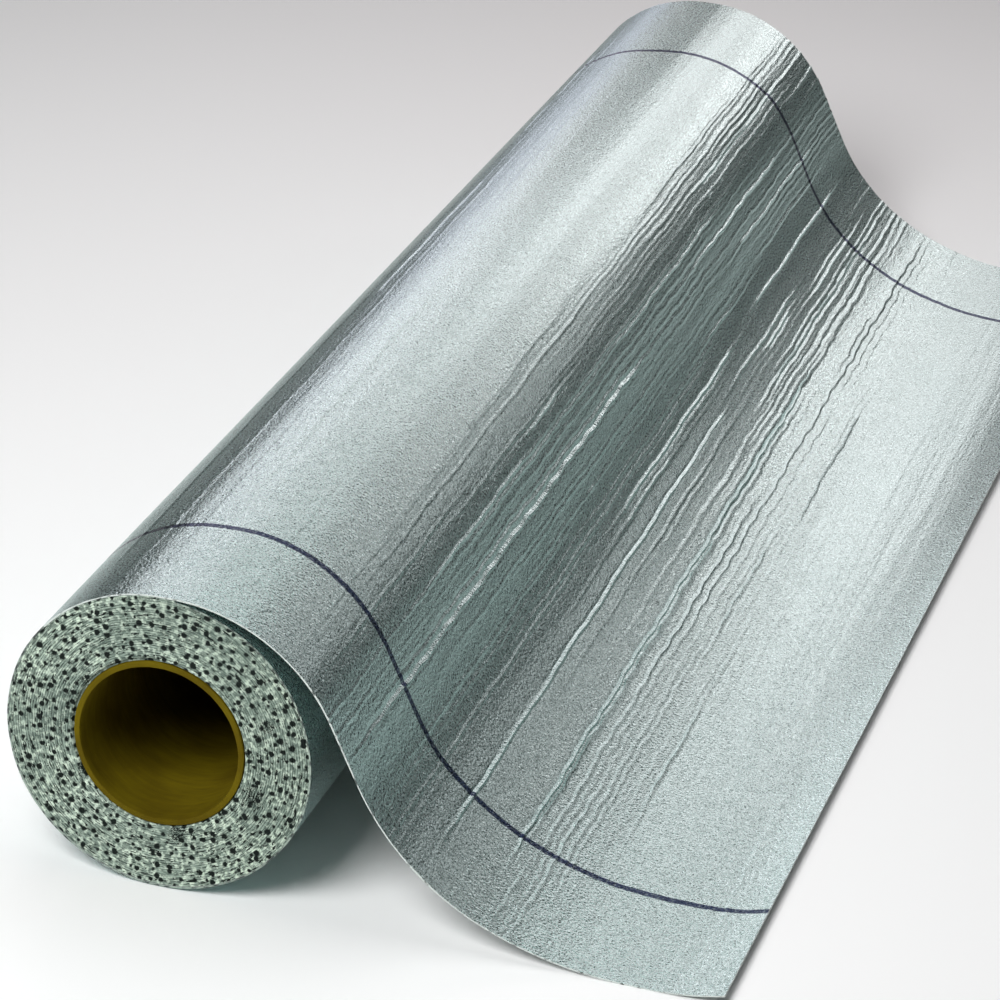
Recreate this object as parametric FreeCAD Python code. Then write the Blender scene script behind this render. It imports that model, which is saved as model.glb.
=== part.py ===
import FreeCAD, Part
import math
import os

# A roll of aluminium-faced flashing membrane on a cardboard core, lying on its side, with its free end
# pulled off the top of the roll and down to the floor.
# Units are millimetres and degrees. The origin is on the core's axis, halfway along it. +Y runs along the
# core from the near end to the far end, +Z is up, and the free end leads away towards +X.

# Driving sizes of the sheet and its winding
SHEET_WIDTH = 914.4
SHEET_THICKNESS = 1.15
TURNS = 28

# Driving sizes of the cardboard core
CORE_BORE = 76.2
CORE_WALL = 2.8
CORE_CLEARANCE = 0.2

# The outer side of each turn's cut edge stands back by this much, which lets the turns show on the ends
EDGE_STEP = 0.35

# The pulled-off end, from the roll's top to its cut end: a level stretch, a bend that is wider than the
# roll, a straight fall, a sweep that eases the slope, a landing, a strip on the floor and a raised lip
LEVEL_STRETCH = 6.3
BEND_LOOSENING = 9.7
STEEPEST_SLOPE = 63.5
STRAIGHT_FALL = 31.7
EASING_SLOPE = 22.6
LANDING_RADIUS = 170.0
FLOOR_STRIP = 9.0
LIP_RADIUS = 134.0
LIP_ANGLE = 15.3

# Values that follow from the driving sizes
HALF_WIDTH = SHEET_WIDTH / 2
CORE_OUTER_RADIUS = CORE_BORE / 2 + CORE_WALL
WINDING_BORE_RADIUS = CORE_OUTER_RADIUS + CORE_CLEARANCE
ROLL_RADIUS = WINDING_BORE_RADIUS + TURNS * SHEET_THICKNESS
SPIRAL_SHIFT = SHEET_THICKNESS / 2
SHEET_TOP = ROLL_RADIUS + SHEET_THICKNESS
STRIP_TOP = SHEET_THICKNESS - ROLL_RADIUS

ALONG = FreeCAD.Vector(0, 1, 0)


def point(x, z, y=0.0):
    """A point of the cross-section, at the distance y along the roll."""
    return FreeCAD.Vector(x, y, z)


def full_width_cylinder(radius):
    """A cylinder on the core's axis, as long as the sheet is wide."""
    return Part.makeCylinder(radius, SHEET_WIDTH, point(0, 0, -HALF_WIDTH), ALONG)


def end_corners(spiral_offset):
    """One end of the winding in section, as corners (radius, set-back) from inside the bore outwards.

    Every turn's edge slopes back towards its outer side, where the next turn steps forward again. The
    innermost and the outermost turns stay flat.
    """
    corners = [(WINDING_BORE_RADIUS - SHEET_THICKNESS, 0.0)]
    corners.append((WINDING_BORE_RADIUS + SHEET_THICKNESS + spiral_offset, 0.0))
    for turn in range(2, TURNS):
        radius = WINDING_BORE_RADIUS + turn * SHEET_THICKNESS + spiral_offset
        corners.append((radius, EDGE_STEP))
        corners.append((radius, 0.0))
    corners.append((ROLL_RADIUS + spiral_offset, 0.0))
    return corners


def half_winding(spiral_offset, angle):
    """Half of the wound body: its lengthwise section, turned through half a circle.

    The circle's centre lies spiral_offset above the core's axis, and every radius is larger by as much.
    """
    corners = end_corners(spiral_offset)
    near_end = [point(0, spiral_offset + radius, back - HALF_WIDTH) for radius, back in corners]
    far_end = [point(0, spiral_offset + radius, HALF_WIDTH - back) for radius, back in reversed(corners)]
    section = Part.Face(Part.makePolygon(near_end + far_end + near_end[:1]))
    return section.revolve(point(0, spiral_offset), ALONG, angle)


def wound_body():
    """The wound turns as one solid.

    Every turn is a spiral of two half circles. The halves on the side where the end leaves are centred on
    the core's axis. The other halves are centred half a sheet thickness higher and are larger by as much.
    Below, they meet the halves of their own turn, and at the top those of the next turn outwards.
    """
    leaving_side = half_winding(0.0, 180)
    other_side = half_winding(SPIRAL_SHIFT, -180)
    return leaving_side.fuse(other_side).cut(full_width_cylinder(WINDING_BORE_RADIUS))


def leaving_curve():
    """The pulled-off end's top surface, as tangent pieces from the top of the roll to the cut end.

    Each piece is (length or radius, slope in, slope out), with slopes in degrees below the horizontal. It
    is straight where the two slopes are the same. The sweep's radius follows from the height that is left
    between the straight fall and the landing.
    """
    steep = math.radians(STEEPEST_SLOPE)
    easing = math.radians(EASING_SLOPE)
    bend_radius = SHEET_TOP + BEND_LOOSENING
    bend_drop = bend_radius * (1 - math.cos(steep))
    straight_drop = STRAIGHT_FALL * math.sin(steep)
    landing_drop = LANDING_RADIUS * (1 - math.cos(easing))
    sweep_drop = SHEET_TOP - STRIP_TOP - bend_drop - straight_drop - landing_drop
    sweep_radius = sweep_drop / (math.cos(easing) - math.cos(steep))
    return [
        (LEVEL_STRETCH, 0.0, 0.0),
        (bend_radius, 0.0, STEEPEST_SLOPE),
        (STRAIGHT_FALL, STEEPEST_SLOPE, STEEPEST_SLOPE),
        (sweep_radius, STEEPEST_SLOPE, EASING_SLOPE),
        (LANDING_RADIUS, EASING_SLOPE, 0.0),
        (FLOOR_STRIP, 0.0, 0.0),
        (LIP_RADIUS, 0.0, -LIP_ANGLE),
    ]


def arc_point(start, radius, slope_in, slope):
    """The point with this slope on an arc that leaves start with slope_in.

    A positive radius puts the arc's centre below its start, and a negative one above it.
    """
    across = math.sin(math.radians(slope)) - math.sin(math.radians(slope_in))
    rise = math.cos(math.radians(slope)) - math.cos(math.radians(slope_in))
    return point(start.x + radius * across, start.z + radius * rise)


def curve_edges(start, pieces, depth):
    """The edges of the surface that lies depth below the curve's pieces, from start, and their last point."""
    edges = []
    here = start
    for size, slope_in, slope_out in pieces:
        if slope_in == slope_out:
            slope = math.radians(slope_in)
            there = point(here.x + size * math.cos(slope), here.z - size * math.sin(slope))
            edges.append(Part.LineSegment(here, there).toShape())
        else:
            radius = size - depth if slope_out > slope_in else -size - depth
            middle = arc_point(here, radius, slope_in, (slope_in + slope_out) / 2)
            there = arc_point(here, radius, slope_in, slope_out)
            edges.append(Part.Arc(here, middle, there).toShape())
        here = there
    return edges, here


def leaving_sheet():
    """The pulled-off end as one solid.

    Its level stretch is filled down into the roll's outermost turn, so that the two are one piece. Where
    the level stretch ends, the crevice between the sheet and the roll opens with a blunt root.
    """
    pieces = leaving_curve()
    top_start = point(0, SHEET_TOP)
    crevice = point(LEVEL_STRETCH, ROLL_RADIUS)
    top_edges, top_end = curve_edges(top_start, pieces, 0.0)
    under_edges, under_end = curve_edges(crevice, pieces[1:], SHEET_THICKNESS)
    sunk_height = ROLL_RADIUS - SHEET_THICKNESS / 2
    root = [top_start, point(0, sunk_height), point(LEVEL_STRETCH, sunk_height), crevice]
    root_edges = Part.makePolygon(root).Edges
    cut_end = Part.LineSegment(top_end, under_end).toShape()
    outline = Part.sortEdges(top_edges + [cut_end] + under_edges + root_edges)[0]
    face = Part.Face(Part.Wire(outline))
    face.translate(-HALF_WIDTH * ALONG)
    return face.extrude(SHEET_WIDTH * ALONG)


def flashing_sheet():
    """The whole membrane sheet: its wound turns and its pulled-off end, which are one piece."""
    return wound_body().fuse(leaving_sheet()).removeSplitter().Solids[0]


def cardboard_core():
    """The cardboard tube that the sheet is wound on."""
    return full_width_cylinder(CORE_OUTER_RADIUS).cut(full_width_cylinder(CORE_BORE / 2)).Solids[0]


os.makedirs("parts", exist_ok=True)
flashing_sheet().exportStep("parts/flashing_sheet.step")
cardboard_core().exportStep("parts/cardboard_core.step")
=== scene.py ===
import math

import bpy
import numpy as np
from mathutils import Matrix, Vector


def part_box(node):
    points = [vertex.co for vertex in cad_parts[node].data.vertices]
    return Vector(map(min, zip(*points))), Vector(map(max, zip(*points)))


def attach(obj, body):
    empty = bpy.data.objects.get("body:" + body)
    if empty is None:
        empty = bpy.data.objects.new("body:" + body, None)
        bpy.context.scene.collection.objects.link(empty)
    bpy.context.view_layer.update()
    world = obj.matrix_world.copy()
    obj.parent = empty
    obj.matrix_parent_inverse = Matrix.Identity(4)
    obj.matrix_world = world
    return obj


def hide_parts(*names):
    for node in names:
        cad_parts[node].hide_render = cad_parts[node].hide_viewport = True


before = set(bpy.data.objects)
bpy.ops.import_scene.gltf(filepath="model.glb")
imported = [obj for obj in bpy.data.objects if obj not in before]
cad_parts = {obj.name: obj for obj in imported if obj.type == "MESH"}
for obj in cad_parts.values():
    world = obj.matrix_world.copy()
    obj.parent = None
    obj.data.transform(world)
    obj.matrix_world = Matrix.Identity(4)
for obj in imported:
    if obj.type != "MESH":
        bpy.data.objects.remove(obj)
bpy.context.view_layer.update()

# Driving sizes in metres, on the frame's own axes: the core lies along Y, Z is up, and the pulled-off end
# leads away towards +X. Slopes are angles below the horizontal.
MM = 0.001
SHEET_LOW, SHEET_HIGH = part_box("flashing_sheet")
CORE_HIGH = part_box("cardboard_core")[1]
FLOOR_LEVEL = SHEET_LOW[2]
SHEET_TOP = SHEET_HIGH[2]
HALF_WIDTH = (SHEET_HIGH[1] - SHEET_LOW[1]) / 2
ROLL_RADIUS = -FLOOR_LEVEL
THICKNESS = SHEET_TOP - ROLL_RADIUS
TURNS = 28
WINDING_BORE = ROLL_RADIUS - TURNS * THICKNESS
CORE_RADIUS = CORE_HIGH[2]
CORE_WALL = 2.8 * MM

# The pulled-off end, from the roll's top to its cut end. The sweep's radius follows from the height that is
# left between the straight fall and the landing.
LEVEL_STRETCH = 6.3 * MM
BEND_RADIUS = SHEET_TOP + 9.7 * MM
STEEPEST = math.radians(63.5)
STRAIGHT_FALL = 31.7 * MM
EASING = math.radians(22.6)
LANDING_RADIUS = 170 * MM
FLOOR_STRIP = 9 * MM
LIP_RADIUS = 134 * MM
LIP_ANGLE = math.radians(15.3)
SWEEP_DROP = (
    SHEET_TOP + ROLL_RADIUS - THICKNESS - BEND_RADIUS * (1 - math.cos(STEEPEST))
    - STRAIGHT_FALL * math.sin(STEEPEST) - LANDING_RADIUS * (1 - math.cos(EASING))
)
SWEEP_RADIUS = SWEEP_DROP / (math.cos(EASING) - math.cos(STEEPEST))

# The outermost turn starts here, in the crevice under the pulled-off end
CREVICE = math.radians(5)

# The two marking lines, measured from the sheet's near and far edges
NEAR_LINE = 78 * MM - HALF_WIDTH
FAR_LINE = HALF_WIDTH - 85 * MM

# Points along the sheet lie this far apart where the pulled-off end is creased most, on the rest of it, on
# the outermost turn and underneath
CREASED_FROM, CREASED_TO = 58 * MM, 250 * MM
FINE_STEP = 0.8 * MM
PLAIN_STEP = 1.3 * MM
TURN_STEP = 1.6 * MM
UNDER_STEP = 5 * MM
ROWS = 230
ROWS_PER_UNDER_ROW = 5
JOIN = -64 * MM

# Every turn's edge on the ends of the roll has this many points around. Across its thickness it has points
# at these shares, which lie this deep in millimetres.
AROUND = 648
TURN_SHARES = (0.0, 0.16, 0.38, 0.62, 0.86)
TURN_PROFILE = (0.42, 0.05, 0.0, 0.03, 0.10)

# Clumps of bitumen on the ends of the roll, in millimetres: x, z, reach
BITUMEN_CLUMPS = ((-35, 24, 4), (-36, -20, 4), (45, -17, 6), (52, 20, 4), (10, -44, 5))

# The relief lies this far under the CAD surface on average. Creases may stand out of it only where the
# sheet is well inside the CAD box.
RELIEF_ROOM = 0.42 * MM
OUTWARD_ROOM = 0.5 * MM

# A crease's width, the length over which it fades in and out, and its line's slant per distance across
CREASE_WIDTH = 1.15 * MM
CREASE_FADE = 90 * MM
CREASE_SLANT = -0.012

# Over this distance the crease lines straighten towards the sheet's two ends and its two meshes' joint
STRAIGHTENING = 25 * MM


def path_pieces():
    """The outer side of the outermost turn and of the pulled-off end, as pieces of steady curvature.

    Each is (length, heading at its start, curvature). The heading is the angle below the horizontal, which
    grows by a full circle over the turn.
    """
    full = 2 * math.pi
    left_radius = ROLL_RADIUS + THICKNESS / 2
    return [
        (ROLL_RADIUS * (math.pi - CREVICE), CREVICE, 1 / ROLL_RADIUS),
        (left_radius * math.pi, math.pi, 1 / left_radius),
        (LEVEL_STRETCH, full, 0.0),
        (BEND_RADIUS * STEEPEST, full, 1 / BEND_RADIUS),
        (STRAIGHT_FALL, full + STEEPEST, 0.0),
        (SWEEP_RADIUS * (STEEPEST - EASING), full + STEEPEST, -1 / SWEEP_RADIUS),
        (LANDING_RADIUS * EASING, full + EASING, -1 / LANDING_RADIUS),
        (FLOOR_STRIP, full, 0.0),
        (LIP_RADIUS * LIP_ANGLE, full, -1 / LIP_RADIUS),
    ]


LENGTHS, HEADINGS, CURVATURES = np.array(path_pieces()).T
PIECE_STARTS = np.cumsum(LENGTHS) - LENGTHS
WOUND_LENGTH = LENGTHS[0] + LENGTHS[1]
SHEET_START = -WOUND_LENGTH
SHEET_END = LENGTHS.sum() - WOUND_LENGTH


def chord(run, heading, curvature):
    """The step (x, z) over a run of steady curvature: its chord, whose heading is that of the run's middle."""
    turned = run * curvature
    length = run * np.sinc(turned / (2 * np.pi))
    middle = heading + turned / 2
    return length * np.cos(middle), -length * np.sin(middle)


STEP_X, STEP_Z = chord(LENGTHS, HEADINGS, CURVATURES)
PIECE_X = ROLL_RADIUS * math.sin(CREVICE) + np.cumsum(STEP_X) - STEP_X
PIECE_Z = ROLL_RADIUS * math.cos(CREVICE) + np.cumsum(STEP_Z) - STEP_Z


def sheet_path(place):
    """The outer side's x, z and heading at the distance place along the sheet, counted from the roll's top."""
    along = place + WOUND_LENGTH
    piece = np.clip(np.searchsorted(PIECE_STARTS, along, side="right") - 1, 0, len(LENGTHS) - 1)
    run = along - PIECE_STARTS[piece]
    step_x, step_z = chord(run, HEADINGS[piece], CURVATURES[piece])
    return PIECE_X[piece] + step_x, PIECE_Z[piece] + step_z, HEADINGS[piece] + CURVATURES[piece] * run


def smooth_step(value):
    """Rises from 0 to 1 as value does, with level ends: 3 v squared less 2 v cubed."""
    value = np.clip(value, 0, 1)
    return value * value * (3 - 2 * value)


def wave(across, length, phase):
    """A sine of this wavelength, from -1 to 1."""
    return np.sin(across * 2 * np.pi / length + phase)


def stray(place, across):
    """How far the crease line that is named by place lies from it, at the distance across from the middle.

    A slant in proportion to across, plus waves along the line whose phase drifts from line to line. The
    short waves are liveliest in the bend and before the landing. All of it fades out at the sheet's two ends
    and at the joint of its two meshes.
    """
    calm = smooth_step(np.abs(place - JOIN) / STRAIGHTENING)
    calm = calm * smooth_step((SHEET_END - place) / STRAIGHTENING)
    calm = calm * smooth_step((place - SHEET_START) / STRAIGHTENING)
    bend = np.exp(-((place - 112 * MM) / (22 * MM)) ** 2)
    landing = np.exp(-((place - 222 * MM) / (20 * MM)) ** 2)
    short = 0.48 * MM * wave(across, 21.3 * MM, 1.5 * np.sin(place * 95) + place * 160)
    middle = 0.45 * MM * wave(across, 34.4 * MM, 1.2 * np.sin(place * 61 + 1) + place * 110)
    long = 0.45 * MM * wave(across, 92.1 * MM, 2.0 * np.sin(place * 40 + 2))
    waves = (0.25 + 0.35 * bend + 0.5 * landing) * (short + middle) + long
    return calm * (CREASE_SLANT * across + waves)


# The strongest creases, in millimetres: place along the sheet, from and to across it, height
STRONG_CREASES = [
    (175.4, -457, 130, 0.80), (175.0, 120, 300, 0.51), (158.2, -135, 190, 0.68), (163.6, -150, 60, 0.57),
    (205.8, -440, 220, 0.78), (208.8, -420, 190, 0.45), (190.4, 90, 457, 0.70), (113.8, -480, 60, 0.80),
    (109.6, -440, 60, 0.53), (105.5, 40, 457, 0.41), (122.3, 150, 457, 0.53), (137.0, 215, 420, 0.53),
    (142.0, 60, 200, 0.32), (154.0, 150, 457, 0.49), (170.5, 60, 320, 0.53), (221.0, -190, 480, 0.44),
    (216.0, -430, 60, 0.53), (200.0, 150, 457, 0.53), (204.0, 190, 457, 0.45), (197.0, -60, 110, 0.41),
    (235.0, -200, 60, 0.41), (306.5, -450, -240, 0.51), (312.0, -430, -300, 0.32), (242.0, -150, 240, 0.24),
    (84.0, 120, 457, 0.41), (77.0, 180, 440, 0.49), (70.0, 200, 420, 0.41), (92.0, -120, 300, 0.28),
    (60.0, -457, -60, 0.32), (66.0, -400, 40, 0.28), (76.0, -457, -200, 0.32), (25.5, -457, -250, 0.32),
    (-4.0, -457, -60, 0.32), (48.0, -457, -330, 0.20), (181.0, 230, 457, 0.41), (-39.0, -120, 457, 0.45),
    (-46.0, -457, 457, 0.32), (-31.0, -457, 200, 0.36), (-23.0, -300, 420, 0.28), (-15.0, -457, -40, 0.24),
]


def fine_creases():
    """The many slight creases, as rows of the same four values: drawn at random, closest where the end bends."""
    draw = np.random.default_rng(28)
    creases = []
    for first, last, spacing, height in (
        (-450, -70, 7.0, 0.08), (-56, 0, 3.5, 0.12), (0, 56, 6.0, 0.07), (58, 100, 2.6, 0.28),
        (100, 172, 3.6, 0.23), (172, 250, 3.0, 0.26), (250, 325, 4.0, 0.18),
    ):
        for place in np.arange(first, last, spacing):
            for _ in range(2):
                length = draw.uniform(120, 520)
                start = draw.uniform(-560, 457)
                row = (place + draw.uniform(-0.4, 0.4) * spacing, start, start + length)
                creases.append(row + (height * draw.uniform(0.5, 1.4),))
    return creases


def sheet_relief(place, across):
    """The surface's height against the CAD surface.

    Each crease is a narrow ridge between two shallow grooves, along a line of one place: the bell curve of
    the distance times one less its scaled square. It fades in and out. Long low swells lie under the creases.
    """
    relief = np.zeros(np.broadcast(place, across).shape)
    for crease, start, end, height in STRONG_CREASES + fine_creases():
        columns = np.flatnonzero(np.abs(place[:, 0] - crease * MM) < 4 * CREASE_WIDTH)
        if len(columns):
            square = ((place[columns] - crease * MM) / CREASE_WIDTH) ** 2
            bell = (1 - 1.6 * square) * np.exp(-square)
            fade_in = smooth_step((across - start * MM) / CREASE_FADE)
            fade_out = smooth_step((end * MM - across) / CREASE_FADE)
            relief[columns] += height * MM * bell * fade_in * fade_out
    swells = 0.10 * np.sin(place * 75 + 1.4 * np.sin(across * 9)) + 0.06 * np.sin(place * 190 + across * 14)
    swells += 0.035 * np.sin(place * 560 + 2.0 * np.sin(across * 11 + place * 30))
    relief += swells * MM
    free = smooth_step((place - 20 * MM) / (20 * MM)) * smooth_step((SHEET_END - 10 * MM - place) / (20 * MM))
    return np.minimum(relief - RELIEF_ROOM, OUTWARD_ROOM * free)


def add_piece(name, points, face_groups, materials, attributes=()):
    """Makes a mesh object at the origin that rides on the frame.

    face_groups holds (corner numbers, material number), with all the faces of a group in one array.
    attributes holds (name, kind, values at the points).
    """
    corners = np.concatenate([faces.ravel() for faces, _ in face_groups])
    sizes = np.concatenate([np.full(len(faces), faces.shape[1]) for faces, _ in face_groups])
    finish = np.concatenate([np.full(len(faces), number) for faces, number in face_groups])
    mesh = bpy.data.meshes.new(name)
    mesh.vertices.add(len(points))
    mesh.vertices.foreach_set("co", points.ravel())
    mesh.loops.add(len(corners))
    mesh.polygons.add(len(sizes))
    mesh.polygons.foreach_set("loop_start", np.cumsum(sizes) - sizes)
    mesh.polygons.foreach_set("vertices", corners)
    for material in materials:
        mesh.materials.append(material)
    mesh.polygons.foreach_set("material_index", finish)
    mesh.update(calc_edges=True)
    mesh.validate()
    mesh.set_sharp_from_angle(angle=math.radians(40))
    for label, kind, values in attributes:
        layer = mesh.attributes.new(label, kind, "POINT")
        layer.data.foreach_set("vector" if kind == "FLOAT_VECTOR" else "value", values.ravel())
    piece = bpy.data.objects.new(name, mesh)
    bpy.context.scene.collection.objects.link(piece)
    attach(piece, "root")
    return piece


def grid_faces(numbers):
    """The four-cornered faces between neighbouring points of a grid of point numbers."""
    return np.stack(
        [numbers[:-1, :-1], numbers[1:, :-1], numbers[1:, 1:], numbers[:-1, 1:]], axis=-1
    ).reshape(-1, 4)


def step_faces(fine, coarse, share):
    """The faces between a fine column of points and a coarse one that has one point for every share of its own."""
    starts = np.arange(len(coarse) - 1)[:, None]
    return np.hstack([coarse[starts], fine[starts * share + np.arange(share + 1)], coarse[starts + 1]])


def sheet_piece(name, outer_places, inner_places, materials):
    """A stretch of the sheet as a closed body.

    Its outer side is the path, lowered by the relief, with crease lines as grid lines. Its inner side is the
    path less the thickness, on fewer points. The two end faces across it and its two long edges are flat.
    """
    across = np.linspace(-HALF_WIDTH, HALF_WIDTH, ROWS + 1)[None, :]
    named = outer_places[:, None]
    place = named + stray(named, across)
    x, z, heading = sheet_path(place)
    relief = sheet_relief(np.broadcast_to(named, place.shape), across)
    flat = np.broadcast_to(across, place.shape)
    outer = np.stack([x + relief * np.sin(heading), flat, z + relief * np.cos(heading)], axis=-1)

    across_under = across[:, ::ROWS_PER_UNDER_ROW]
    x, z, heading = sheet_path(np.repeat(inner_places[:, None], across_under.shape[1], axis=1))
    flat_under = np.broadcast_to(across_under, x.shape)
    inner = np.stack(
        [x - THICKNESS * np.sin(heading), flat_under, z - THICKNESS * np.cos(heading)], axis=-1
    )

    outer_numbers = np.arange(outer[..., 0].size).reshape(outer.shape[:2])
    inner_numbers = outer_numbers.size + np.arange(inner[..., 0].size).reshape(inner.shape[:2])
    foil, release_film, cut_edge = 0, 1, 2
    near_edge = np.concatenate([outer_numbers[:, 0], inner_numbers[::-1, 0]])[None, ::-1]
    far_edge = np.concatenate([outer_numbers[:, -1], inner_numbers[::-1, -1]])[None, :]
    groups = [
        (grid_faces(outer_numbers), foil),
        (grid_faces(inner_numbers)[:, ::-1], release_film),
        (step_faces(outer_numbers[0], inner_numbers[0], ROWS_PER_UNDER_ROW), cut_edge),
        (step_faces(outer_numbers[-1], inner_numbers[-1], ROWS_PER_UNDER_ROW)[:, ::-1], cut_edge),
        (near_edge, cut_edge),
        (far_edge, cut_edge),
    ]
    points = np.concatenate([outer.reshape(-1, 3), inner.reshape(-1, 3)])
    outer_flat = np.stack([place, flat, np.zeros_like(place)], axis=-1).reshape(-1, 3)
    inner_flat = np.stack(
        [np.repeat(inner_places[:, None], across_under.shape[1], axis=1), flat_under, np.full_like(x, -THICKNESS)],
        axis=-1,
    ).reshape(-1, 3)
    attributes = [("sheet_place", "FLOAT_VECTOR", np.concatenate([outer_flat, inner_flat]))]
    return add_piece(name, points, groups, materials, attributes)


def winding_point(step, share):
    """A point of the wound turns: x and z, with step counted around from the top of the innermost turn.

    Turns are half circles. On the side where the end leaves, the circles have the core's axis as centre. On
    the other side they are half a thickness higher and larger, so each turn ends where the next begins.
    """
    whole, around = np.divmod(step, AROUND)
    angle = around * 2 * np.pi / AROUND
    raised = np.where(around >= AROUND / 2, THICKNESS / 2, 0.0)
    radius = WINDING_BORE + (whole + share) * THICKNESS + raised
    return radius * np.sin(angle), raised + radius * np.cos(angle)


def crumbs(shape, draw, rows, threshold):
    """Bitumen crumbs along the turns, from 0 for none to 1: white noise, averaged along each turn and cut off."""
    noise = draw.standard_normal((shape[0] + rows, shape[1]))
    summed = np.cumsum(noise, axis=0)
    averaged = (summed[rows:] - summed[:-rows])[: shape[0]] / math.sqrt(rows)
    averaged = averaged + 0.5 * np.roll(averaged, 1, axis=1) + 0.5 * np.roll(averaged, -1, axis=1)
    return smooth_step((averaged / math.sqrt(1.5) - threshold) / 0.5)


def end_turns(name, side, seed, materials):
    """One half of the wound turns, with their edges on the roll's end as a closed body.

    Each turn's edge is its profile (a groove towards the turn inside it, and a flat crown) carried along the
    spiral, at a depth that wavers slowly from turn to turn. The innermost turn stands back around the core.
    side is -1 at the near end and 1 at the far end.
    """
    draw = np.random.default_rng(seed)
    lead = int(round(AROUND * CREVICE / (2 * math.pi)))
    last = (TURNS - 1) * AROUND + lead
    steps = np.arange(last + AROUND + 1)
    shares = np.array(TURN_SHARES)
    x, z = winding_point(steps[:, None], shares[None, :])

    angle = steps * 2 * np.pi / AROUND
    waver = 0.16 + 0.07 * np.sin(angle * 0.37 + seed) + 0.05 * np.sin(angle * 0.713) + 0.03 * np.sin(angle * 2.3)
    rough = draw.standard_normal(x.shape) * 0.02
    bitumen = crumbs(x.shape, draw, 5, 1.15)
    for clump_x, clump_z, reach in BITUMEN_CLUMPS:
        near = np.exp(-((x - clump_x * MM) ** 2 + (z - clump_z * MM) ** 2) / (reach * MM) ** 2)
        bitumen = np.maximum(bitumen, near * smooth_step(0.6 + draw.standard_normal(x.shape) * 0.6))
    set_back = 1.1 * np.exp(-(((steps // AROUND)[:, None] + shares) / 0.45) ** 2)
    depth = waver[:, None] + np.array(TURN_PROFILE) + rough - 0.12 * bitumen + set_back
    y = side * (HALF_WIDTH - np.maximum(depth, 0.0) * MM)
    spiral = np.stack([x, y, z], axis=-1)

    # Only the innermost line of points goes on past the last step, where it bounds the last turn outwards
    numbers = np.full(x.shape, -1)
    numbers[: last + 1] = np.arange((last + 1) * len(shares)).reshape(-1, len(shares))
    numbers[last + 1:, 0] = (last + 1) * len(shares) + np.arange(AROUND)
    kept = numbers >= 0
    order = np.argsort(numbers[kept])
    end_points = spiral[kept][order]

    # The bore is a circle. It closes the wedge between itself and the innermost turn's second half.
    half = AROUND // 2
    bore_angle = np.arange(half + 1, AROUND) * 2 * np.pi / AROUND
    bore_y = np.full(bore_angle.shape, side * (HALF_WIDTH - 1.3 * MM))
    bore = np.stack([WINDING_BORE * np.sin(bore_angle), bore_y, WINDING_BORE * np.cos(bore_angle)], axis=-1)
    bore_numbers = len(end_points) + np.arange(len(bore))
    first = numbers[0]
    wedge_inner = np.concatenate([numbers[half: half + 1, 0], bore_numbers])
    wedge_outer = numbers[half: AROUND, 0]
    wedge = np.stack([wedge_inner[1:-1], wedge_inner[2:], wedge_outer[2:], wedge_outer[1:-1]], axis=-1)
    wedge_start = np.array([[wedge_inner[0], wedge_inner[1], wedge_outer[1]]])
    wedge_end = np.concatenate([wedge_inner[-1:], first, numbers[AROUND, :1], wedge_outer[-1:]])[None, :]

    # Down the bore and the outer side to the middle of the roll, where a flat ring closes the body
    inner_loop = np.concatenate([numbers[:half + 1, 0], bore_numbers])
    outer_loop = numbers[last: last + AROUND, 0]
    step_face = np.concatenate([numbers[last], numbers[last + AROUND, :1]])
    outline_points = np.concatenate([end_points, bore])
    middle = outline_points[np.concatenate([inner_loop, outer_loop, step_face[-1:]])]
    middle = middle * np.array([1.0, 0.0, 1.0])
    middle_start = len(outline_points)
    inner_middle = middle_start + np.arange(AROUND)
    outer_middle = middle_start + AROUND + np.arange(AROUND)
    top_middle = middle_start + 2 * AROUND

    def around_faces(loop, other, close=True):
        """Faces between two loops of points."""
        ahead, other_ahead = np.roll(loop, -1), np.roll(other, -1)
        faces = np.stack([loop, ahead, other_ahead, other], axis=-1)
        return faces if close else faces[:-1]

    outer_side = around_faces(outer_loop, outer_middle, close=False)
    outer_last = np.array([[outer_loop[-1], step_face[-1], top_middle, outer_middle[-1]]])
    step_side = np.concatenate([step_face[::-1], [outer_middle[0], top_middle]])[None, :]
    inner_ring = np.roll(inner_middle, -lead)
    ring = around_faces(inner_ring, outer_middle, close=False)
    ring_last = np.array([[inner_ring[-1], inner_ring[0], outer_middle[0], top_middle, outer_middle[-1]]])

    turn_faces = []
    for share in range(len(shares)):
        inner = numbers[:last + 1, share]
        outer = numbers[:last + 1, share + 1] if share + 1 < len(shares) else numbers[AROUND: AROUND + last + 1, 0]
        turn_faces.append(np.stack([inner[:-1], inner[1:], outer[1:], outer[:-1]], axis=-1))
    finish = 0
    groups = [
        (np.concatenate(turn_faces + [wedge]), finish),
        (wedge_start, finish),
        (wedge_end, finish),
        (np.concatenate([around_faces(inner_loop, inner_middle)[:, ::-1], outer_side, outer_last]), finish),
        (step_side, finish),
        (ring[:, ::-1], finish),
        (ring_last[:, ::-1], finish),
    ]
    if side > 0:
        groups = [(faces[:, ::-1], number) for faces, number in groups]
    points = np.concatenate([outline_points, middle])
    radius = WINDING_BORE + steps * THICKNESS / AROUND
    arc = radius * angle / 2 + WINDING_BORE * angle / 2
    values = np.stack([np.broadcast_to(arc[:, None], x.shape), np.broadcast_to(shares, x.shape), bitumen], axis=-1)
    values = np.concatenate([values[kept][order], np.zeros((len(points) - len(end_points), 3))])
    return add_piece(name, points, groups, materials, [("turn_place", "FLOAT_VECTOR", values)])


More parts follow.
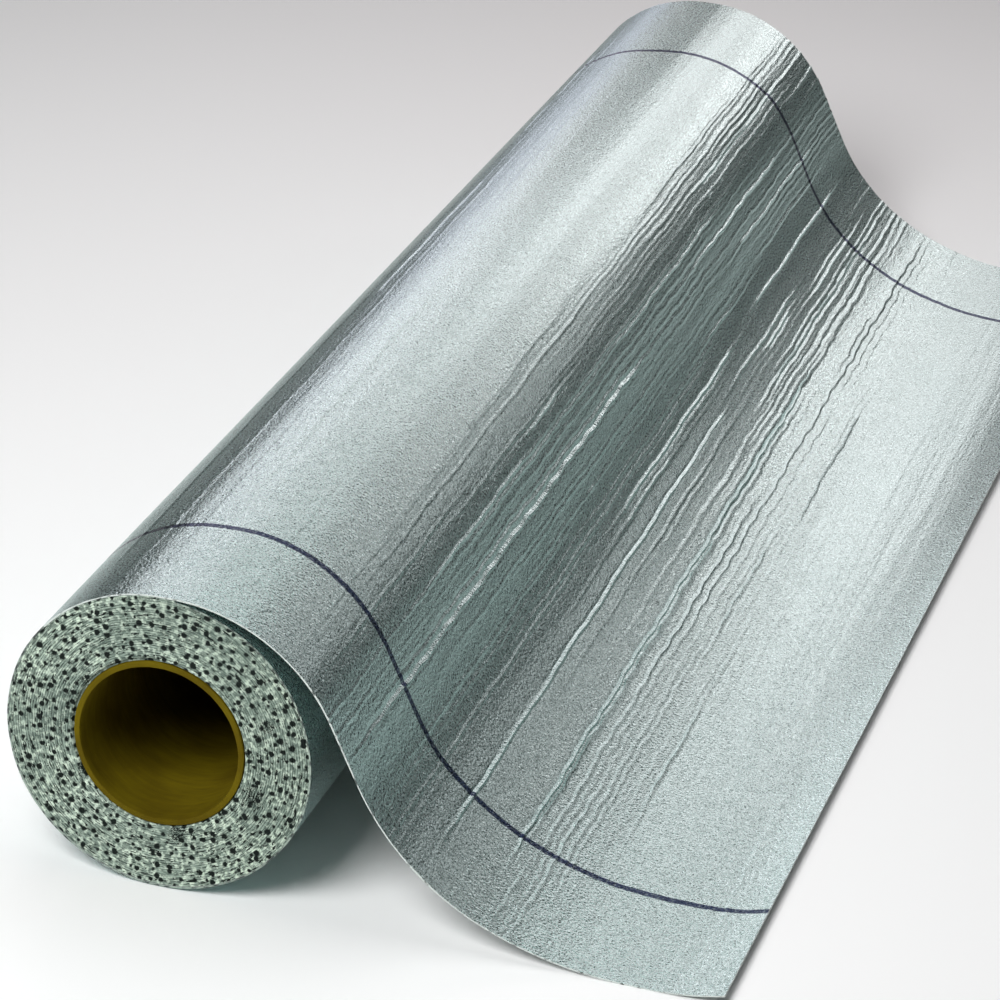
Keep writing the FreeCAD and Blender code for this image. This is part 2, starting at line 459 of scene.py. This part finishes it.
def core_tube(name, materials):
    """The cardboard tube: its wall's section, with rounded and slightly fuzzy rims, turned around the axis.

    Inside, the radius grows by a shallow groove along the spiral seam of the innermost paper strip.
    """
    around = np.arange(360) * 2 * np.pi / 360
    along = np.linspace(-1, 1, 241) * (HALF_WIDTH - 0.5 * MM)
    seam = (along[:, None] / 0.19 + around[None, :] / (2 * np.pi)) % 1.0
    groove = 0.25 * MM * np.exp(-((seam - 0.5) / 0.012) ** 2)
    inner = np.broadcast_to(CORE_RADIUS - CORE_WALL, groove.shape) + groove
    rim = CORE_RADIUS - CORE_WALL * np.array([0.95, 0.80, 0.62, 0.44, 0.26, 0.10])
    rim_back = MM * np.array([0.12, 0.0, 0.05, 0.0, 0.06, 0.14])
    fuzz = 0.05 * MM * (1 + np.sin(around * 23 + 2 * np.sin(around * 7)))
    near_rim = -HALF_WIDTH + rim_back[:, None] + fuzz
    outer_along = np.linspace(-1, 1, 9) * (HALF_WIDTH - 0.5 * MM)
    radius = np.concatenate([
        inner[::-1], np.repeat(rim[:, None], 360, axis=1),
        np.full((9, 360), CORE_RADIUS), np.repeat(rim[::-1, None], 360, axis=1),
    ])
    y = np.concatenate([
        np.repeat(along[::-1, None], 360, axis=1), near_rim,
        np.repeat(outer_along[:, None], 360, axis=1), -near_rim[::-1],
    ])
    points = np.stack([radius * np.sin(around), y, radius * np.cos(around)], axis=-1)
    numbers = np.arange(radius.size).reshape(radius.shape)
    closed = np.concatenate([numbers, numbers[:1]])
    closed = np.concatenate([closed, closed[:, :1]], axis=1)
    return add_piece(name, points.reshape(-1, 3), [(grid_faces(closed)[:, ::-1], 0)], materials)


def spaced(start, end, step):
    """Evenly spaced places from start to end, about step apart."""
    return np.linspace(start, end, int(round((end - start) / step)) + 1)


def add_node(tree, kind, inputs=None, **settings):
    """Adds a node. Settings are its properties, and inputs gives a value or another node's output for a socket."""
    node = tree.nodes.new(kind)
    for label, value in settings.items():
        setattr(node, label, value)
    for label, value in (inputs or {}).items():
        if isinstance(value, bpy.types.NodeSocket):
            tree.links.new(value, node.inputs[label])
        else:
            node.inputs[label].default_value = value
    return node


def add_math(tree, operation, first, second=0.0, third=0.0):
    """The output of a Math node."""
    return add_node(tree, "ShaderNodeMath", {0: first, 1: second, 2: third}, operation=operation).outputs[0]


def add_mix(tree, factor, first, second):
    """The output of a colour mix, from first at factor 0 to second at factor 1."""
    node = add_node(tree, "ShaderNodeMix", {0: factor, 6: first, 7: second}, data_type="RGBA")
    return node.outputs[2]


def add_range(tree, value, low, high, to_low=0.0, to_high=1.0):
    """The output of a clamped Map Range node."""
    inputs = {"Value": value, "From Min": low, "From Max": high, "To Min": to_low, "To Max": to_high}
    return add_node(tree, "ShaderNodeMapRange", inputs).outputs[0]


def add_noise(tree, vector, scale, detail=2.0, roughness=0.5, distortion=0.0):
    """The height output of a noise texture."""
    inputs = {
        "Vector": vector, "Scale": scale, "Detail": detail, "Roughness": roughness, "Distortion": distortion
    }
    return add_node(tree, "ShaderNodeTexNoise", inputs).outputs[0]


def new_finish(name):
    """A new material whose nodes are all cleared, and its node tree."""
    material = bpy.data.materials.new(name)
    material.use_nodes = True
    material.node_tree.nodes.clear()
    return material, material.node_tree


def finish_with(tree, **inputs):
    """Ends a material's tree in one principled shader with these inputs, whose names have _ for a space."""
    named = {label.replace("_", " "): value for label, value in inputs.items()}
    shader = add_node(tree, "ShaderNodeBsdfPrincipled", named)
    add_node(tree, "ShaderNodeOutputMaterial", {"Surface": shader.outputs[0]})


def embossed_foil():
    """Aluminium foil with a fine embossed grain, streaks along the roll, and two thin blue marking lines.

    The grain is strongest at the near end. The far line drifts inwards over the top of the roll.
    """
    material, tree = new_finish("embossed_foil")
    place = add_node(tree, "ShaderNodeAttribute", attribute_name="sheet_place").outputs["Vector"]
    split = add_node(tree, "ShaderNodeSeparateXYZ", {0: place}).outputs
    grain = add_noise(tree, place, 720.0, 1.0, 0.5)
    specks = add_noise(tree, place, 950.0, 0.0)
    dash_place = add_node(tree, "ShaderNodeMapping", {"Vector": place, "Scale": (420.0, 110.0, 1.0)}).outputs[0]
    dashes = add_noise(tree, dash_place, 1.0, 1.0, 0.5, 0.8)
    clouds = add_noise(tree, place, 18.0, 3.0, 0.55)

    wander = add_math(tree, "MULTIPLY", add_math(tree, "SUBTRACT", add_noise(tree, place, 14.0), 0.5), 0.006)
    across = add_math(tree, "ADD", split[1], wander)
    drift = add_range(tree, split[0], -0.01, 0.075, 0.021, 0.0)
    ink = None
    for line, shift in ((NEAR_LINE, 0.0), (FAR_LINE, drift)):
        away = add_math(tree, "SUBTRACT", add_math(tree, "ADD", across, shift), line)
        drawn = add_range(tree, add_math(tree, "ABSOLUTE", away), 0.0017, 0.0022, 1.0, 0.0)
        ink = drawn if ink is None else add_math(tree, "MAXIMUM", ink, drawn)
    ink = add_math(tree, "MULTIPLY", ink, add_range(tree, grain, 0.25, 0.5, 0.65, 1.0))

    metal = add_mix(tree, clouds, (0.48, 0.67, 0.64, 1), (0.55, 0.74, 0.71, 1))
    coarse = add_range(tree, split[1], -0.40, 0.10, 1.0, 0.6)
    speck = add_math(tree, "MULTIPLY", add_range(tree, specks, 0.40, 0.62), coarse)
    metal = add_mix(tree, speck, metal, (0.385, 0.55, 0.525, 1))
    color = add_mix(tree, ink, metal, (0.006, 0.028, 0.075, 1))
    embossing = add_math(tree, "MULTIPLY", grain, coarse)
    height = add_math(tree, "ADD", embossing, add_math(tree, "MULTIPLY", dashes, 0.4))
    bump = add_node(tree, "ShaderNodeBump", {"Height": height, "Strength": 1.0, "Distance": 0.00035}).outputs[0]
    roughness = add_range(tree, specks, 0.35, 0.65, 0.36, 0.20)
    finish_with(tree, Base_Color=color, Metallic=1.0, Roughness=roughness, Normal=bump)
    return material


def release_film():
    """The smooth pale film on the sticky side."""
    material, tree = new_finish("release_film")
    place = add_node(tree, "ShaderNodeAttribute", attribute_name="sheet_place").outputs["Vector"]
    clouds = add_noise(tree, place, 30.0, 3.0)
    color = add_mix(tree, clouds, (0.42, 0.46, 0.45, 1), (0.55, 0.58, 0.57, 1))
    bump = add_node(tree, "ShaderNodeBump", {"Height": clouds, "Strength": 0.5, "Distance": 0.001}).outputs[0]
    finish_with(tree, Base_Color=color, Roughness=0.42, Normal=bump)
    return material


def cut_edge(name, pale, smeared):
    """The knife-cut edge of the sheet: pale, with bitumen smeared over more of it as smeared falls."""
    material, tree = new_finish(name)
    place = add_node(tree, "ShaderNodeTexCoord").outputs["Object"]
    smear = add_range(tree, add_noise(tree, place, 260.0, 4.0), smeared, smeared + 0.14)
    color = add_mix(tree, smear, pale, (0.05, 0.065, 0.06, 1))
    finish_with(tree, Base_Color=color, Metallic=0.2, Roughness=0.5)
    return material


def turn_edges():
    """The cut edges of the turns on the roll's ends: pale, with light streaks, black bitumen, and painted shade in
    the groove between turns.

    The bitumen shows as round pits, one in each cell of a flat pattern, and as the crumbs of the turns' mesh.
    """
    material, tree = new_finish("turn_edges")
    place = add_node(tree, "ShaderNodeAttribute", attribute_name="turn_place").outputs["Vector"]
    split = add_node(tree, "ShaderNodeSeparateXYZ", {0: place}).outputs
    spot = add_node(tree, "ShaderNodeTexCoord").outputs["Object"]
    streak_place = add_node(tree, "ShaderNodeMapping", {"Vector": place, "Scale": (230.0, 1.6, 0.0)}).outputs[0]
    streaks = add_noise(tree, streak_place, 1.0, 2.0)
    mottle = add_noise(tree, spot, 420.0, 2.0)
    clouds = add_noise(tree, spot, 45.0, 3.0)
    pale = add_mix(tree, add_range(tree, streaks, 0.36, 0.64), (0.05, 0.075, 0.06, 1), (0.40, 0.50, 0.42, 1))
    pale = add_mix(tree, add_range(tree, mottle, 0.48, 0.62), pale, (0.68, 0.80, 0.67, 1))
    shade = add_mix(tree, add_range(tree, clouds, 0.35, 0.75, 0.0, 0.6), pale, (0.12, 0.17, 0.145, 1))
    # Painted shade: towards the low shares of each turn's edge, where its groove lies deepest, the colour darkens
    # to near black.
    groove = add_range(tree, split[1], 0.0, 0.10, 0.25, 0.0)
    shade = add_mix(tree, groove, shade, (0.03, 0.045, 0.04, 1))
    bent = add_math(tree, "MULTIPLY", add_math(tree, "SUBTRACT", mottle, 0.5), 0.35)
    spot_split = add_node(tree, "ShaderNodeSeparateXYZ", {0: spot}).outputs
    end_spot = add_node(tree, "ShaderNodeCombineXYZ", {0: spot_split[0], 1: spot_split[2]}).outputs[0]
    pit_cells = {"Vector": end_spot, "Scale": 190.0, "Randomness": 0.85}
    pits = add_node(tree, "ShaderNodeTexVoronoi", pit_cells, voronoi_dimensions="2D").outputs
    away = add_math(tree, "ADD", pits["Distance"], bent)
    chosen = add_node(tree, "ShaderNodeSeparateColor", {0: pits["Color"]}).outputs[0]
    away = add_math(tree, "ADD", away, add_range(tree, chosen, 0.0, 1.0, -0.08, 0.08))
    pit = add_range(tree, away, 0.17, 0.26, 1.0, 0.0)
    crumb = add_math(tree, "ADD", split[2], add_range(tree, mottle, 0.3, 0.7, -0.25, 0.25))
    black = add_math(tree, "MAXIMUM", pit, add_range(tree, crumb, 0.35, 0.6))
    color = add_mix(tree, black, shade, (0.006, 0.011, 0.009, 1))
    height = add_math(tree, "ADD", mottle, streaks)
    height = add_math(tree, "SUBTRACT", height, black)
    bump = add_node(tree, "ShaderNodeBump", {"Height": height, "Strength": 0.6, "Distance": 0.0004}).outputs[0]
    finish_with(tree, Base_Color=color, Roughness=0.6, Specular_IOR_Level=0.15, Normal=bump)
    return material


def wound_cardboard():
    """Olive-brown cardboard with fibres along the paper strips."""
    material, tree = new_finish("wound_cardboard")
    spot = add_node(tree, "ShaderNodeTexCoord").outputs["Object"]
    fibre_place = add_node(tree, "ShaderNodeMapping", {"Vector": spot, "Scale": (70.0, 420.0, 70.0)}).outputs[0]
    fibres = add_noise(tree, fibre_place, 1.0, 3.0)
    clouds = add_noise(tree, spot, 35.0, 3.0)
    brown = add_mix(tree, fibres, (0.085, 0.062, 0.003, 1), (0.165, 0.125, 0.004, 1))
    color = add_mix(tree, add_range(tree, clouds, 0.4, 0.7, 0.0, 0.6), brown, (0.055, 0.034, 0.002, 1))
    bump = add_node(tree, "ShaderNodeBump", {"Height": fibres, "Strength": 0.5, "Distance": 0.0004}).outputs[0]
    finish_with(tree, Base_Color=color, Roughness=0.8, Specular_IOR_Level=0.06, Normal=bump)
    return material


foil_finish, film_finish = embossed_foil(), release_film()
clean_edge = cut_edge("clean_cut_edge", (0.62, 0.68, 0.65, 1), 0.56)
wound_edge = cut_edge("wound_cut_edge", (0.34, 0.42, 0.36, 1), 0.44)
end_places = np.concatenate([
    spaced(JOIN, CREASED_FROM, PLAIN_STEP), spaced(CREASED_FROM, CREASED_TO, FINE_STEP)[1:],
    spaced(CREASED_TO, SHEET_END, PLAIN_STEP)[1:],
])
pulled_off_end = sheet_piece(
    "pulled_off_end", end_places, spaced(JOIN, SHEET_END, UNDER_STEP), [foil_finish, film_finish, clean_edge],
)
outermost_turn = sheet_piece(
    "outermost_turn", spaced(SHEET_START, JOIN, TURN_STEP), spaced(SHEET_START, JOIN, UNDER_STEP),
    [foil_finish, film_finish, wound_edge],
)
turn_finishes = [turn_edges()]
near_end_turns = end_turns("near_end_turns", -1, 3, turn_finishes)
far_end_turns = end_turns("far_end_turns", 1, 5, turn_finishes)
tube = core_tube("cardboard_tube", [wound_cardboard()])
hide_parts("cardboard_core")
for piece in (pulled_off_end, outermost_turn, near_end_turns, far_end_turns):
    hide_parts("flashing_sheet")


def studio_floor():
    """A plain pale floor under the roll."""
    size = 12.0
    corners = np.array([[-size, -size], [size, -size], [size, size], [-size, size]])
    mesh = bpy.data.meshes.new("studio_floor")
    mesh.from_pydata([(x, y, FLOOR_LEVEL) for x, y in corners], [], [(0, 1, 2, 3)])
    material, tree = new_finish("pale_floor")
    finish_with(tree, Base_Color=(0.96, 0.96, 0.96, 1), Roughness=0.9)
    mesh.materials.append(material)
    floor = bpy.data.objects.new("studio_floor", mesh)
    bpy.context.scene.collection.objects.link(floor)


def soft_lamp(name, place, aim, width, height, power, tint=(1, 1, 1), spread=180):
    """A rectangular soft lamp at place that faces aim, with its beam's spread in degrees."""
    lamp = bpy.data.lights.new(name, "AREA")
    lamp.shape = "RECTANGLE"
    lamp.size, lamp.size_y = width, height
    lamp.energy = power
    lamp.color = tint
    lamp.spread = math.radians(spread)
    holder = bpy.data.objects.new(name, lamp)
    holder.location = place
    holder.rotation_euler = (Vector(aim) - Vector(place)).to_track_quat("-Z", "Y").to_euler()
    holder.visible_camera = False
    bpy.context.scene.collection.objects.link(holder)


def studio_world():
    """Dim greenish light from all around, darkest at the horizon and brightest overhead."""
    world = bpy.data.worlds.new("studio_world")
    world.use_nodes = True
    tree = world.node_tree
    direction = add_node(tree, "ShaderNodeTexCoord").outputs["Generated"]
    height = add_node(tree, "ShaderNodeSeparateXYZ", {0: direction}).outputs[2]
    level = add_range(tree, height, 0.05, 0.8, 0.01, 0.05)
    tree.links.new(level, tree.nodes["Background"].inputs["Strength"])
    tree.nodes["Background"].inputs["Color"].default_value = (0.70, 1.0, 0.94, 1)
    bpy.context.scene.world = world


def photo_camera():
    """The camera at the photograph's viewing angle."""
    camera = bpy.data.cameras.new("photo_camera")
    camera.sensor_width = 36
    camera.lens = 149.6
    holder = bpy.data.objects.new("photo_camera", camera)
    forward = Vector((-0.2556, 0.8687, -0.4242)).normalized()
    right = forward.cross(Vector((0.1734, -0.3905, -0.9041))).normalized() * -1
    down = forward.cross(right).normalized()
    turned = Matrix((right, -down, -forward)).transposed().to_4x4()
    holder.matrix_world = Matrix.Translation((0.6025, -1.985, 0.8965)) @ turned
    bpy.context.scene.collection.objects.link(holder)
    bpy.context.scene.camera = holder


studio_floor()
studio_world()
# The softboxes hang in one plane behind the roll: name, middle (x, z), width, height, brightness, tint. Their
# narrow beams light the foil but hardly the floor.
SOFTBOX_PLANE = 2.2
SOFTBOX_AIM = (30 * MM, 0, 0)
SOFTBOX_SPREAD = 60
WATTS_PER_AREA = 0.505
for name, x, z, width, height, brightness, tint in (
    ("top_left_softbox", -1.25, 1.35, 1.0, 0.5, 2.65, (1.0, 0.81, 0.86)),
    ("top_softbox", -0.25, 1.35, 1.0, 0.5, 1.75, (1.0, 0.81, 0.85)),
    ("right_softbox", 0.50, 0.85, 0.5, 0.5, 2.15, (1.0, 0.81, 0.84)),
    ("middle_softbox", 0.0, 0.85, 0.5, 0.5, 1.05, (1.0, 0.81, 0.84)),
    ("low_softbox", 0.0, 0.35, 0.5, 0.5, 0.3, (1.0, 0.81, 0.84)),
    ("middle_left_softbox", -0.72, 0.70, 0.35, 0.35, 0.6, (1.0, 0.81, 0.84)),
    ("left_softbox", -1.0, 0.35, 0.5, 0.5, 0.85, (0.97, 0.85, 1.0)),
    ("far_right_softbox", 1.50, 1.10, 0.5, 1.0, 1.2, (1.0, 0.83, 0.86)),
):
    power = brightness * WATTS_PER_AREA * width * height
    soft_lamp(name, (x, SOFTBOX_PLANE, z), SOFTBOX_AIM, width, height, power, tint, SOFTBOX_SPREAD)
soft_lamp("front_lamp", (-0.3, -1.6, 1.4), (0, -0.2, 0), 0.9, 0.9, 35)
soft_lamp("overhead_lamp", (0, 0.1, 1.3), (0, 0.1, 0), 1.2, 1.2, 7.5)
photo_camera()
bpy.context.scene.view_settings.view_transform = "Standard"
